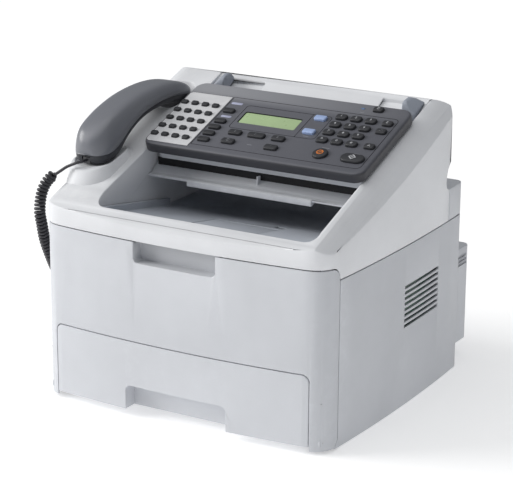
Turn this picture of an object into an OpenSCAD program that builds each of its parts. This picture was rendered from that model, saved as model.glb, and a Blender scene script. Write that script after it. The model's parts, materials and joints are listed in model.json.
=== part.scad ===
// Desktop laser fax machine with handset, document feeder and paper cassette.
// Depths run from the middle of the front face (0) to the rear cover (body_d).

/* [Body] */
// Overall width of the body
body_w = 388; // [384:1:392]
// Overall depth of the body, rear cover included
body_d = 400; // [398:1:402]
// How far the front face bows out at its middle
front_bow = 9.5; // [8:0.5:11]
// How far each side bows out at its middle
side_bow = 5; // [4:0.5:6]
// Radius of the front corners seen from above
corner_r = 28; // [26:1:30]
// Height of the seam between the side covers and the top housing
seam_z = 197; // [196:0.5:198]
// Wall thickness of the outer mouldings
wall = 3; // [2.5:0.5:3]

/* [Top housing] */
// Height at which the sloping rim would reach the front face
rim_z = 236; // [235:0.5:237]
// Angle of the sloping rim and control panel
slope = 19.8; // [19.6:0.1:20]
// Left edge of the paper bay
bay_left = -120; // [-121:0.5:-119]
// Right edge of the paper bay
bay_right = 165; // [164:0.5:166]

/* [Control panel] */
// Width of the control panel
panel_w = 291; // [289:1:293]
// Thickness of the control panel
panel_t = 13.2; // [13:0.1:13.5]
// Spacing of the number keys across the panel
key_pitch_x = 19; // [18.5:0.1:19.5]
// Spacing of the number keys up the panel
key_pitch_s = 16.6; // [16.4:0.1:17]
// Travel of each key
key_travel = 0.8; // [0.6:0.1:1]

/* [Front cover and cassette] */
// Height of the top edge of the front cover
cover_top = 212; // [211:0.5:213]
// Height of the top edge of the paper cassette front
cassette_top = 92.5; // [92:0.5:93]
// Half the width of the paper cassette front
cassette_half = 167.8; // [167:0.1:168]
// Half the width of the finger notch under the cassette
notch_half = 67; // [60:1:70]
// Gap between neighbouring mouldings
gap = 1; // [0.8:0.1:1.2]

/* [Handset] */
// Width of the handset
handset_w = 48; // [46:0.5:49]
// Outside diameter of the curly cord
coil_d = 14; // [13:0.5:14]
// Diameter of the straight cord
cord_d = 3.6; // [3.2:0.1:3.8]

/* [Hidden] */

half_w = body_w / 2;
big = 600;
run_fit = 0.08;              // radial clearance of a shaft in its bore
side_front = 40;             // where the front cover ends and the side covers start
side_back = 351;             // rear face of the side covers
side_mid = 197;
side_half = 154;
base_z = 2;                  // underside of the side covers
cover_bottom = 14;
leg_z = 4;                   // underside of the front cover's legs
leg_foot_y = 33.5;           // rear end of the legs' underside
cassette_bottom = 9;
cover_hinge = [22, 14];      // depth and height of the front cover's pivot
hinge_r = 3;
bow_half = 168;              // half width over which front_bow is measured
back_r = 10;
step_y = 28;                 // where the cover's top edge starts to drop to seam_z
panel_x = 24;                // middle of the control panel and of the document path
panel_s0 = 132;              // front edge of the panel, measured up the slope
panel_s1 = 272.5;            // rear edge of the panel
panel_r = 14;
panel_hinge = [262, -7];     // pivot of the panel: distance up the slope, height above it
keypad_x = panel_x + 87.5;   // middle column of number keys
keypad_s = 211.5;            // middle of the four rows of number keys
key_h = 3.2;                 // how far a key stands above the panel
bay_front = 22;
bay_r = 14;                  // round front corners of the bay, seen from above
floor_front = [22.7, 229.5]; // front end of the paper bay floor
floor_back = [172, 205];     // rear end of its sloping part
handset_x = -160;
chute_y = 264;               // front edge of the document chute
jack_y = 205;
jack_z = 110;
pickup_axis = [84, 80];
exit_axis = [281, 222];      // depth and height of the exit roller
guide_pockets = [[-105.5, -54], [107, 153.5]];

// ---------- outlines ----------

// Depth of the front face at x
function front_y(x) = front_bow * pow(x / bow_half, 2);

// Half width of the body at depth y
function side_x(y) = half_w - side_bow * pow((y - side_mid) / side_half, 2);

corner_y = front_y(half_w - corner_r) + corner_r;
corner_x = side_x(corner_y) - corner_r;

// Right half of the body outline, front middle to back middle, moved inwards by i
function outline_half(i) = concat(
    [for (k = [0 : 12]) let (x = corner_x * k / 12) [x, front_y(x) + i]],
    [for (a = [-78 : 10 : -8]) [corner_x + (corner_r - i) * cos(a), corner_y + (corner_r - i) * sin(a)]],
    [for (k = [0 : 10]) let (y = corner_y + (side_back - back_r - corner_y) * k / 10) [side_x(y) - i, y]],
    [for (a = [15 : 15 : 90])
        [side_x(side_back) - back_r + (back_r - i) * cos(a), side_back - back_r + (back_r - i) * sin(a)]]);

function mirrored(points) = [for (k = [len(points) - 1 : -1 : 0]) [-points[k][0], points[k][1]]];

module outline(i = 0) {
    polygon(concat(outline_half(i), mirrored(outline_half(i))));
}

// Slab of the body outline between two heights
module outline_slab(z0, z1, i = 0) {
    translate([0, 0, z0]) linear_extrude(z1 - z0) outline(i);
}

// Solid with the given depth-and-height outline from x0 to x1
module x_prism(points, x0, x1) {
    translate([x0, 0, 0]) rotate([90, 0, 90]) linear_extrude(x1 - x0) polygon(points);
}

// Box from its lowest to its highest corner
module span(lo, hi) {
    translate(lo) cube(hi - lo);
}

// Round bar along x
module x_bar(x0, x1, y, z, r, sides = 48) {
    translate([x0, y, z]) rotate([0, 90, 0]) cylinder(h = x1 - x0, r = r, $fn = sides);
}

// Rectangle with round corners, lowest corner to highest
module round_rect(lo, hi, r) {
    union() {
        translate([lo[0] + r, lo[1]]) square([hi[0] - lo[0] - 2 * r, hi[1] - lo[1]]);
        translate([lo[0], lo[1] + r]) square([hi[0] - lo[0], hi[1] - lo[1] - 2 * r]);
        for (x = [lo[0] + r, hi[0] - r], y = [lo[1] + r, hi[1] - r])
            translate([x, y]) circle(r, $fn = 40);
    }
}

// Plate with round corners standing on a plane
module round_plate(lo, hi, r, z0, h) {
    translate([0, 0, z0]) linear_extrude(h) round_rect(lo, hi, r);
}

// Moves from depths measured off the front face to the part's frame
module place() {
    translate([0, -body_d / 2, 0]) children();
}

// Local frame on the slope: x across, y up the slope, z square to it
module on_slope() {
    place() translate([0, 0, rim_z]) rotate([slope, 0, 0]) children();
}

function slope_z(y) = rim_z + y * tan(slope);

// ---------- lower body ----------

module side_skin(sign) {
    difference() {
        outline_slab(base_z, seam_z);
        outline_slab(base_z - 1, seam_z + 1, wall);
        x_prism([[-50, -1], [leg_foot_y + gap, -1], [leg_foot_y + gap, leg_z],
            [side_front + gap, cover_bottom], [side_front + gap, 300], [-50, 300]], -big, big);
        span([-(half_w - 24), -50, -1], [half_w - 24, big, 300]);
        span([sign > 0 ? -big : 0, -50, -1], [sign > 0 ? 0 : big, big, 300]);
    }
}

// Inward flange along the bottom of a side cover
module side_flange(sign) {
    intersection() {
        outline_slab(base_z, base_z + 2.5, 0.5);
        span([sign > 0 ? 178.5 : -big, 46, 0], [sign > 0 ? big : -178.5, 340, 10]);
    }
}

module left_side_cover() {
    color([0.84, 0.85, 0.88]) place() difference() {
        union() {
            side_skin(-1);
            side_flange(-1);
        }
        span([-half_w - 5, jack_y - 22, jack_z - 12], [-180, jack_y + 62, jack_z + 12]);
    }
}

louvre_n = 8;
louvre_z0 = 99;
louvre_pitch = 6.7;

module right_side_cover() {
    color([0.72, 0.74, 0.78]) place() difference() {
        union() {
            side_skin(1);
            side_flange(1);
        }
        for (k = [0 : louvre_n - 1])
            span([150, 189, louvre_z0 + k * louvre_pitch], [big, 280, louvre_z0 + k * louvre_pitch + 3.6]);
    }
}

// Steel and plastic chassis between the side covers
module base_frame() {
    color([0.55, 0.56, 0.6]) place() difference() {
        union() {
            for (s = [-1, 1]) {
                span([s > 0 ? 172 : -175, 44, 3], [s > 0 ? 175 : -172, 340, 194]);
                // cassette rails
                span([s > 0 ? 162 : -172, 50, 62], [s > 0 ? 172 : -162, 330, 65]);
                // hinge brackets of the front cover, with their pins
                span([s > 0 ? 172 : -175, 18.6, 10], [s > 0 ? 175 : -172, 44, 40]);
                x_bar(s > 0 ? 174 : -181, s > 0 ? 181 : -174, cover_hinge[0], cover_hinge[1], hinge_r);
            }
            span([-172, 66, 3], [172, 90, cassette_bottom]);
            span([-172, 296, 3], [172, 320, cassette_bottom]);
            // deck between the cassette and the print engine
            span([-172, 70, 98], [172, 340, 101]);
            span([-172, 334, 101], [172, 337, 194]);
        }
        // paper path from the pickup roller and fuser wall opening
        span([-110, 66, 90], [110, 104, 110]);
        span([-115, 300, 120], [115, 338, 165]);
        // passage of the power inlet and bores of the pickup roller's shaft
        span([-151, 330, 148], [-91, 340, 176]);
        x_bar(-180, 180, pickup_axis[0], pickup_axis[1], 4 + run_fit);
    }
}

module feet() {
    color([0.2, 0.2, 0.22]) place() for (x = [-172, 172], y = [62, 318])
        translate([x - sign(x) * 10, y, 0]) cylinder(h = 3, r = 8, $fn = 36);
}

// ---------- front cover ----------

recess_half = 54;
recess_z = 188;
recess_d = 17;

// Height-and-depth outline of the cover's end, dropping to seam_z at the side
function cover_end(extra) = concat(
    [[-20, leg_z], [leg_foot_y + extra, leg_z], [side_front + extra, cover_bottom],
        [side_front + extra, seam_z]],
    [for (a = [0 : 15 : 90])
        [step_y + (side_front - step_y) * cos(a) + extra, seam_z + (cover_top - seam_z + extra) * sin(a)]],
    [[-20, cover_top + extra]]);

module front_cover() {
    color([0.86, 0.87, 0.9]) place() difference() {
        union() {
            intersection() {
                difference() {
                    outline_slab(leg_z, cover_top);
                    outline_slab(0, 300, wall);
                    // opening for the cassette
                    rotate([90, 0, 0]) translate([0, 0, -60])
                        linear_extrude(120) round_rect([-cassette_half - gap, -40],
                            [cassette_half + gap, cassette_top + gap], 9);
                }
                x_prism(cover_end(0), -big, big);
            }
            // walls of the handle recess
            intersection() {
                span([-recess_half - 2.5, 1.5, recess_z - 2.5],
                    [recess_half + 2.5, recess_d + 2.5, cover_top - 1]);
                outline_slab(0, 300, 1);
            }
            // stiffening ribs behind the skin
            for (x = [-150, -100, 100, 150])
                span([x - 1, front_y(x) + 2, cassette_top + 6], [x + 1, front_y(x) + 12, cover_top - 16]);
            span([-152, front_y(152) + 2, cassette_top + 3], [152, front_y(152) + 7, cassette_top + 6]);
            // hinge lugs
            for (s = [-1, 1]) {
                span([s > 0 ? 176 : -180, cover_hinge[0] - 5, cover_hinge[1]],
                    [s > 0 ? 180 : -176, cover_hinge[0] + 5, 60]);
                x_bar(s > 0 ? 176 : -180, s > 0 ? 180 : -176, cover_hinge[0], cover_hinge[1], 7);
                intersection() {
                    outline_slab(20, 56, 1);
                    span([s > 0 ? 176 : -190, 6, 20], [s > 0 ? 190 : -176, 34, 56]);
                }
            }
        }
        // finger recess, open at the top
        rotate([90, 0, 0]) translate([0, 0, -recess_d])
            linear_extrude(60) round_rect([-recess_half, recess_z], [recess_half, cover_top + 40], 6);
        for (s = [-1, 1])
            x_bar(s > 0 ? 170 : -182, s > 0 ? 182 : -170, cover_hinge[0], cover_hinge[1], hinge_r + run_fit);
        // rear corners of the legs swing clear of the chassis brackets
        for (s = [-1, 1])
            span([s > 0 ? 168 : -176, 18, 0], [s > 0 ? 176 : -168, 60, 60]);
    }
}

// ---------- paper cassette ----------

tray_half = 158;
tray_back = 326;
plate_half = 70;

module paper_cassette() {
    color([0.84, 0.85, 0.88]) place() difference() {
        union() {
            // front block, following the bow of the front face
            intersection() {
                outline_slab(cassette_bottom, cassette_top);
                rotate([90, 0, 0]) translate([0, 0, -26])
                    linear_extrude(60) union() {
                        round_rect([-cassette_half, 24], [cassette_half, cassette_top], 8);
                        translate([-cassette_half, 0]) square([2 * cassette_half, 50]);
                    }
                span([-200, -20, cassette_bottom], [200, 26, 100]);
            }
            // tray
            span([-tray_half, 20, cassette_bottom], [tray_half, tray_back, 58]);
        }
        // hollow of the front block
        difference() {
            outline_slab(cassette_bottom + 4, cassette_top - 3, 3.5);
            span([-big, 22, 0], [big, big, 200]);
            span([-notch_half - 4, -20, 0], [notch_half + 4, 60, 44]);
            for (x = [-cassette_half - 20, cassette_half - 3])
                span([x, -20, 0], [x + 23, 60, 200]);
        }
        span([-tray_half + 2.5, 26, cassette_bottom + 2.5], [tray_half - 2.5, tray_back - 2.5, 100]);
        // finger notch under the front
        rotate([90, 0, 0]) translate([0, 0, -20])
            linear_extrude(60) round_rect([-notch_half, -40], [notch_half, 39], 7);
    }
}

module cassette_lift_plate() {
    color([0.7, 0.71, 0.73]) place() {
        span([-plate_half, 34, 14.5], [plate_half, 190, 16]);
        for (x = [-plate_half, plate_half - 4])
            span([x, 170, 14.5], [x + 4, 190, 24]);
        x_bar(-plate_half - 2, plate_half + 2, 186, 21, 2);
    }
}

module cassette_guide(sign) {
    color([0.35, 0.36, 0.4]) place() {
        span([sign > 0 ? 108 : -110.5, 60, 11.7], [sign > 0 ? 110.5 : -108, 230, 50]);
        span([sign > 0 ? 110 : -136, 200, 11.7], [sign > 0 ? 136 : -110, 228, 14]);
        span([sign > 0 ? 110 : -120, 140, 11.7], [sign > 0 ? 120 : -110, 146, 40]);
    }
}

module cassette_guide_left() { cassette_guide(-1); }
module cassette_guide_right() { cassette_guide(1); }

// ---------- top housing ----------

// Side outline of the top housing: front band, slope, crest and undercut back
function housing_side() = concat(
    [[-20, seam_z + gap], [-20, 225], [0, 228], [3.5, 231.5], [8, 234.5], [15, 237.5], [24, 240.8],
        [32, 245.2], [42, slope_z(42)], [288, slope_z(288)]],
    [for (a = [105 : -12 : 33]) [299 + 23 * cos(a), 320.5 + 23 * sin(a)]],
    [[325.5, 316], [327.6, 306], [328, 297], [326.4, 289], [321.5, 282], [315, 276.5], [307, 269.5],
        [301, 262], [297.5, 254], [296.5, 246], [299, 240], [306, 237], [306, seam_z + gap]]);

// Height of the rim's surface over the slope plane at x: flat, then falling away at both sides
function shoulder(x) = let (u = max(0, x > 0 ? x - 160 : -x - 166) / 34) -22 * pow(u, 1.7);

function housing_cross(drop) = concat([[-200, -400]],
    [for (x = [-200 : 4 : -164]) [x, shoulder(x) - drop]],
    [for (x = [160 : 4 : 200]) [x, shoulder(x) - drop]],
    [[200, -400]]);

// Plan with round rear corners, inset by i
module rear_corners(i = 0) {
    round_plate([-half_w - 2 + i, -200], [half_w + 2 - i, 328.4 - i], 40 - i, 190, 200);
}

module housing_outer() {
    intersection() {
        outline_slab(seam_z, 360);
        rear_corners();
        x_prism(housing_side(), -200, 200);
        place_slope_prism(housing_cross(0));
    }
}

// Prism along the slope with the given outline of x and height over the slope
module place_slope_prism(points) {
    translate([0, 0, rim_z]) rotate([slope, 0, 0]) translate([0, 500, 0]) rotate([90, 0, 0])
        linear_extrude(1000) polygon(points);
}

// Inside of the hollow housing
module housing_inner() {
    intersection() {
        outline_slab(seam_z - 1, 360, wall);
        rear_corners(wall);
        x_prism([[wall, 190], [wall, 222], [20, 234], [44, 248], [288, slope_z(288) - 3.4], [306, 338],
            [318, 322], [324, 297], [314, 281], [298, 267], [292, 250], [292, 190]], -200, 200);
        place_slope_prism(housing_cross(wall));
    }
}

// Space above the bay floor and under the panel, open to the top
module bay_space() {
    intersection() {
        round_plate([bay_left, bay_front], [bay_right, 500], bay_r, 150, 250);
        x_prism([[bay_front - 1, 150], [bay_front - 1, 400], [chute_y, 400], [chute_y, 312], [292, 312],
            [292, 150]], -200, 200);
    }
}

// Chute behind the panel, where documents go in
module chute_space() {
    x_prism([[250, 400], [250, 321.6], [chute_y, 321.6], [302.5, 343.6], [302.5, 400]], bay_left, bay_right);
}

module housing_cut_for_cover() {
    x_prism(cover_end(gap), -big, big);
}

module top_housing() {
    color([0.93, 0.93, 0.95]) place() difference() {
        union() {
            difference() {
                housing_outer();
                housing_inner();
            }
            // walls of the paper bay and of the chute
            intersection() {
                housing_outer();
                union() {
                    intersection() {
                        difference() {
                            round_plate([bay_left - wall, bay_front - wall], [bay_right + wall, 500],
                                bay_r + wall, 198, 162);
                            round_plate([bay_left, bay_front], [bay_right, 520], bay_r, 190, 180);
                        }
                        span([-200, 0, 190], [200, 294, 400]);
                    }
                    x_prism([[chute_y, 317], [304, 334.8], [304, 345], [chute_y, 345]], bay_left, bay_right);
                    // well of the earpiece
                    translate([handset_x, 0, 0])
                        round_plate([-27.5, 209], [27.5, 273], 16, 298, 100);
                }
            }
        }
        bay_space();
        chute_space();
        // pockets that the document guides slide in
        for (x = guide_pockets)
            x_prism([[250, 314.3], [295, 334.5], [295, 400], [250, 400]], x[0], x[1]);
        intersection() {
            housing_cut_for_cover();
            span([-big, -30, 0], [big, side_front + gap, cover_top + gap]);
        }
        // well of the earpiece and seat of the handset cradle in the left shoulder
        translate([handset_x, 0, 0]) round_plate([-25.2, 211.3], [25.2, 270.7], 15, 300, 200);
        cradle_body();
        // bores of the exit roller's shaft
        x_bar(bay_left - 5, bay_right + 5, exit_axis[0], exit_axis[1], 3 + run_fit);
    }
}

module output_tray() {
    color([0.66, 0.68, 0.73]) place() difference() {
        union() {
            x_prism([floor_front, floor_back, [288, floor_back[1]], [288, floor_back[1] - 2.6],
                floor_back - [0.2, 2.6], floor_front - [0, 2.6]], bay_left + gap, bay_right - gap);
            // step between the floor and the side walls
            for (x = [bay_left + gap, bay_right - gap - 5])
                x_prism([floor_front, floor_back, floor_back + [0, 8], floor_front + [0, 8]], x, x + 5);
        }
        // clear of the bay's round front corners
        difference() {
            span([-200, 0, 190], [200, 60, 260]);
            round_plate([bay_left + 0.6, bay_front + 0.6], [bay_right - 0.6, 500], bay_r - 0.6, 180, 100);
        }
        // pocket of the stop flap
        span([-23, 38, 200], [63, 127, 260]);
        x_bar(-25, 65, flap_hinge[0], flap_hinge[1], 0.8 + run_fit);
        // small window of the paper sensor
        span([50, 134, 190], [62, 146, 240]);
    }
    color([0.66, 0.68, 0.73]) place() {
        // floor under the flap pocket
        x_prism([[36, 223.9], [129, 208.6], [129, 206.6], [36, 221.9]], -26, 66);
    }
}

flap_hinge = [42, 225.2];

module output_stop_flap() {
    color([0.62, 0.64, 0.69]) place() {
        translate([0, flap_hinge[0], flap_hinge[1]]) rotate([-9.3, 0, 0]) {
            round_plate([-22, 2.5], [62, 84], 3, -1.1, 2);
            x_bar(-22, 62, 0, 0, 1.3);
            x_bar(-24.5, 64.5, 0, 0, 0.8);
            span([-22, 0, -1.1], [62, 6, 0.9]);
        }
    }
}

module rear_upper_cover() {
    color([0.74, 0.76, 0.8]) place() difference() {
        intersection() {
            outline_slab(seam_z + gap, 237);
            span([-big, 306 + gap, 0], [big, big, 400]);
        }
        intersection() {
            outline_slab(seam_z - 2, 237 - wall, wall);
            span([-big, 306 + gap - 5, 0], [big, big, 400]);
        }
    }
}

rear_half = 178;
rear_hinge = [380, 27];

module rear_cover() {
    color([0.78, 0.8, 0.83]) place() difference() {
        union() {
            difference() {
                translate([0, 0, 22]) linear_extrude(122)
                    round_rect([-rear_half, side_back - 30], [rear_half, body_d], 9);
                translate([0, 0, 25]) linear_extrude(116)
                    round_rect([-rear_half + 3, side_back - 40], [rear_half - 3, body_d - 3], 6);
                span([-big, 0, 0], [big, side_back + gap, 300]);
            }
            // grip ribs at both ends
            for (s = [-1, 1], k = [0 : 2])
                span([s > 0 ? rear_half - 0.5 : -rear_half - 1, 362, 122 + k * 5],
                    [s > 0 ? rear_half + 1 : -rear_half + 0.5, 388, 124 + k * 5]);
            for (s = [-1, 1]) {
                span([s > 0 ? 150 : -154, rear_hinge[0] - 4, 22],
                    [s > 0 ? 154 : -150, rear_hinge[0] + 4, 27]);
                x_bar(s > 0 ? 150 : -154, s > 0 ? 154 : -150, rear_hinge[0], rear_hinge[1], 4);
            }
        }
        for (s = [-1, 1])
            x_bar(s > 0 ? 148 : -156, s > 0 ? 156 : -148, rear_hinge[0], rear_hinge[1], 2 + run_fit);
        // slots in the bottom for the hinge arms
        for (s = [-1, 1])
            span([s > 0 ? 155.2 : -160.8, 340, 10], [s > 0 ? 160.8 : -155.2, rear_hinge[0] + 10, 36]);
    }
}

module rear_panel() {
    color([0.7, 0.71, 0.75]) place() {
        difference() {
            span([-178, 341, 4], [178, 344, 194]);
            // fuser access behind the rear cover
            span([-140, 340, 60], [140, 350, 138]);
            // power inlet and switch
            span([-150, 340, 150], [-121, 350, 172]);
            span([-108, 340, 152], [-93, 350, 174]);
            // exhaust louvres
            for (k = [0 : 5])
                span([60, 340, 152 + k * 6], [150, 350, 155 + k * 6]);
        }
        // hinge ears of the rear cover
        for (s = [-1, 1]) {
            span([s > 0 ? 156 : -160, 343, 20], [s > 0 ? 160 : -156, rear_hinge[0] + 4, 32]);
            x_bar(s > 0 ? 149 : -158, s > 0 ? 158 : -149, rear_hinge[0], rear_hinge[1], 2);
        }
    }
}

module power_inlet() {
    color([0.12, 0.12, 0.13]) place() difference() {
        union() {
            span([-149.5, 320, 150.5], [-121.5, 345, 171.5]);
            span([-153, 344, 147], [-118, 346, 175]);
        }
        span([-147, 328, 153], [-124, 350, 169]);
    }
    color([0.8, 0.75, 0.5]) place() for (x = [-142.5, -135.5, -128.5])
        span([x - 1, 326, 158 + (x == -135.5 ? 3 : 0)], [x + 1, 342, 162 + (x == -135.5 ? 3 : 0)]);
}

module power_switch() {
    color([0.1, 0.1, 0.11]) place() {
        translate([-100.5, 341, 163]) rotate([0, 90, 0]) difference() {
            cylinder(h = 12, r = 10.6, center = true, $fn = 48);
            translate([0, -14, 0]) cube([40, 20, 20], center = true);
            translate([0, 12.4, 0]) cylinder(h = 20, r = 8, center = true, $fn = 48);
        }
    }
}

module jack_block() {
    color([0.25, 0.26, 0.29]) place() difference() {
        span([-190.5, jack_y - 21.3, jack_z - 11.3], [-176, jack_y + 61.3, jack_z + 11.3]);
        for (k = [0 : 2])
            span([-200, jack_y - 6 + k * 24, jack_z - 6], [-179, jack_y + 6 + k * 24, jack_z + 6]);
    }
}

// ---------- control panel ----------

digit_names = ["1", "2", "3", "4", "5", "6", "7", "8", "9", "star", "0", "hash"];

function key_pos(k) = [keypad_x + (k % 3 - 1) * key_pitch_x, keypad_s + (1.5 - floor(k / 3)) * key_pitch_s];

speed_x0 = -114;
speed_s0 = 152.7;
speed_pitch = [14.35, 17.75];
function_spots = [[-49, 218], [-48, 195], [-48, 181.5], [-48, 168], [-47.5, 154.5],
    [-17, 176.5], [11.5, 176.5], [40.5, 176.5], [-16, 157.5], [41, 157.5]];
copy_spots = [[69, 228.5], [69, 199]];
call_spots = [[128, 261.5], [152, 236], [152, 219], [153, 187]];
start_pos = [145, 160];
stop_pos = [104, 160];
lcd_lo = [-27, 199.5];
lcd_hi = [48, 222];
plate_lo = [-118.6, 138];
plate_hi = [-60.6, 247.4];

// Speed dial plate: round corners on the left, square ones on the right
module plate_shape(grow, z0, h) {
    intersection() {
        round_plate(plate_lo - [grow, grow], plate_hi + [20, grow], 5 + grow, z0, h);
        span([plate_lo[0] - 5, 0, -50], [plate_hi[0] + grow, 400, 50]);
    }
}

module key_hole(pos, size) {
    round_plate([pos[0] - size[0] / 2 - 0.35, pos[1] - size[1] / 2 - 0.35],
        [pos[0] + size[0] / 2 + 0.35, pos[1] + size[1] / 2 + 0.35], 2.4, -20, 60);
}

module key_cap(pos, size, r = 2.2) {
    round_plate([pos[0] - size[0] / 2, pos[1] - size[1] / 2],
        [pos[0] + size[0] / 2, pos[1] + size[1] / 2], r, panel_t - 7, 7 + key_h);
}

digit_size = [14, 9.8];
speed_size = [9, 6.8];
function_size = [15.2, 8];
wide_size = [22, 9];
copy_size = [15.5, 9];
call_size = [12.6, 9.2];
start_size = [29, 15.6];
stop_r = 9.2;

function function_dims(k) = k == 6 ? wide_size : (k > 4 ? [16.8, 9] : function_size);

module control_panel() {
    color([0.4, 0.4, 0.44]) on_slope() difference() {
        round_plate([panel_x - panel_w / 2, panel_s0], [panel_x + panel_w / 2, panel_s1],
            panel_r, 0.4, panel_t - 0.4);
        // hollow underside
        round_plate([panel_x - panel_w / 2 + 3, panel_s0 + 3],
            [panel_x + panel_w / 2 - 3, panel_s1 - 3], panel_r - 3, -5, panel_t + 5 - 2.5);
        // seat of the speed dial plate
        plate_shape(0.2, panel_t - 1.2, 10);
        // rear edge raised over the document entry, so that it clears the housing as the panel lifts
        translate([panel_x - 200, 0, 0]) rotate([90, 0, 90]) linear_extrude(400)
            polygon([[259, 0.3], [280, 12.4 - 0.9], [280, -5], [259, -5]]);
        for (c = [0 : 3], r = [0 : 4])
            key_hole([speed_x0 + c * speed_pitch[0], speed_s0 + r * speed_pitch[1]], speed_size);
        for (k = [0 : 11]) key_hole(key_pos(k), digit_size);
        for (k = [0 : 9]) key_hole(function_spots[k], function_dims(k));
        for (p = copy_spots) key_hole(p, copy_size);
        for (p = call_spots) key_hole(p, call_size);
        translate([stop_pos[0], stop_pos[1], -5]) cylinder(h = 40, r = stop_r + 0.4, $fn = 60);
        key_hole(start_pos, start_size);
        // display window
        round_plate(lcd_lo, lcd_hi, 2, -5, 40);
        // thin groove round the key field
        difference() {
            round_plate([-59.6, 143], [162, 249], 7, panel_t - 0.7, 5);
            round_plate([-58.6, 143.8], [161.2, 248.2], 6.2, panel_t - 2, 8);
        }
        // grooves round the display and the copy keys
        difference() {
            round_plate([-33, 186], [82, 236], 5, panel_t - 0.7, 5);
            round_plate([-32.3, 186.7], [81.3, 235.3], 4.3, panel_t - 2, 8);
        }
        span([55.6, 186.5, panel_t - 0.7], [56.4, 235.5, panel_t + 5]);
    }
}

module panel_lower_shell() {
    color([0.82, 0.83, 0.86]) on_slope() difference() {
        union() {
            difference() {
                round_plate([panel_x - panel_w / 2 + 5.5, panel_s0 + 17],
                    [panel_x + panel_w / 2 - 7.5, panel_s1 - 5], 9, -18, 23.2);
                round_plate([panel_x - panel_w / 2 + 8, panel_s0 + 19.5],
                    [panel_x + panel_w / 2 - 10, panel_s1 - 7.5], 7, -16, 60);
            }
            // hinge arms
            for (x = [-98, 142])
                span([x, panel_hinge[0] - 6, -18], [x + 4, panel_hinge[0] + 5, panel_hinge[1]]);
            for (x = [-98, 142])
                x_bar(x, x + 4, panel_hinge[0], panel_hinge[1], 5);
        }
        x_bar(-101, -91, panel_hinge[0], panel_hinge[1], 2.5 + run_fit);
        x_bar(139, 149, panel_hinge[0], panel_hinge[1], 2.5 + run_fit);
        for (x = [-100, 140])
            span([x + 6.01, panel_hinge[0] - 7, -30], [x + 12, panel_hinge[0] + 20, 0]);
        for (x = [-100, 140])
            span([x - 6, panel_hinge[0] - 7, -30], [x + 1.99, panel_hinge[0] + 20, 0]);
    }
}

module speed_dial_plate() {
    color([0.9, 0.9, 0.92]) on_slope() difference() {
        plate_shape(0, panel_t - 1.2, 1.6);
        for (c = [0 : 3], r = [0 : 4])
            key_hole([speed_x0 + c * speed_pitch[0], speed_s0 + r * speed_pitch[1]], speed_size);
    }
}

module lcd_window() {
    color([0.65, 0.8, 0.5]) on_slope() {
        round_plate([lcd_lo[0] + 0.2, lcd_lo[1] + 0.2], [lcd_hi[0] - 0.2, lcd_hi[1] - 0.2], 1.8,
            panel_t - 3.4, 2.6);
        // display module on the key board
        span([lcd_lo[0] - 3, lcd_lo[1] - 3, panel_t - 6], [lcd_hi[0] + 3, lcd_hi[1] + 3, panel_t - 3.4]);
    }
}

module speed_dial_keys() {
    color([0.22, 0.22, 0.24]) on_slope()
        for (c = [0 : 3], r = [0 : 4])
            key_cap([speed_x0 + c * speed_pitch[0], speed_s0 + r * speed_pitch[1]], speed_size, 1.6);
}

module function_keys() {
    color([0.22, 0.22, 0.24]) on_slope()
        for (k = [0 : 9]) key_cap(function_spots[k], function_dims(k));
}

module copy_keys() {
    color([0.55, 0.68, 0.86]) on_slope() for (p = copy_spots) key_cap(p, copy_size);
}

module call_keys() {
    color([0.22, 0.22, 0.24]) on_slope() for (p = call_spots) key_cap(p, call_size);
}

module digit_key(k) {
    color([0.2, 0.2, 0.22]) on_slope() key_cap(key_pos(k), digit_size, 3);
}

module start_key() {
    color([0.2, 0.2, 0.22]) on_slope() key_cap(start_pos, start_size, 7.7);
}

module stop_key() {
    color([0.2, 0.2, 0.22]) on_slope() translate([stop_pos[0], stop_pos[1], panel_t - 7])
        cylinder(h = 7 + key_h, r = stop_r, $fn = 60);
}

// ---------- document path ----------

feed_s = 212;
feed_n = -34.4;
bed_drop = 25 / cos(slope);  // height of the rim plane above the document bed

module scan_bed() {
    color([0.85, 0.86, 0.89]) place() difference() {
        union() {
            // floor of the document path, ending in the exit shelf
            difference() {
                x_prism([[133, 252], [133, 249], [250, 281], [252, 288], [246, slope_z(246) - bed_drop],
                    [156, slope_z(156) - bed_drop], [148, 259.5], [140, 252.5]],
                    bay_left + 0.6, bay_right - 0.6);
                x_prism([[153, 257.3], [242, 281.8], [243, slope_z(243) - bed_drop - 3.2],
                    [160, slope_z(160) - bed_drop - 3.2], [153, 258.7]], bay_left + 4, bay_right - 4);
            }
            // lowered lip in the middle of the shelf
            x_prism([[131, 251.5], [131, 244.5], [134, 244.5], [150, 250], [150, 253]], -65, 101);
            // divider in the exit slot
            span([22.5, 143, 252], [24.5, 160, 266]);
            // bearings of the feed roller
            for (x = [panel_x - 27, panel_x + 22])
                translate([0, 0, rim_z]) rotate([slope, 0, 0])
                    span([x, feed_s - 7, feed_n - 7], [x + 5, feed_s + 7, -26]);
            // hinge posts of the panel
            for (x = [-94, 138])
                translate([0, 0, rim_z]) rotate([slope, 0, 0]) {
                    span([x + 0.3, panel_hinge[0] - 4, -32], [x + 3.7, panel_hinge[0] + 4, panel_hinge[1]]);
                    x_bar(x + 0.3, x + 3.7, panel_hinge[0], panel_hinge[1], 4);
                    x_bar(x < 0 ? x - 4 : x + 0.3, x < 0 ? x + 3.7 : x + 8,
                        panel_hinge[0], panel_hinge[1], 2.5);
                }
        }
        // gap for the feed roller, its shaft and the sensor glass
        translate([0, 0, rim_z]) rotate([slope, 0, 0]) {
            span([panel_x - 22, feed_s - 12, -60], [panel_x + 22, feed_s + 12, 0]);
            x_bar(panel_x - 30, panel_x + 30, feed_s, feed_n, 3 + run_fit);
            span([panel_x - 112, 172, -60], [panel_x + 112, 190, 0]);
        }
    }
}

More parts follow.
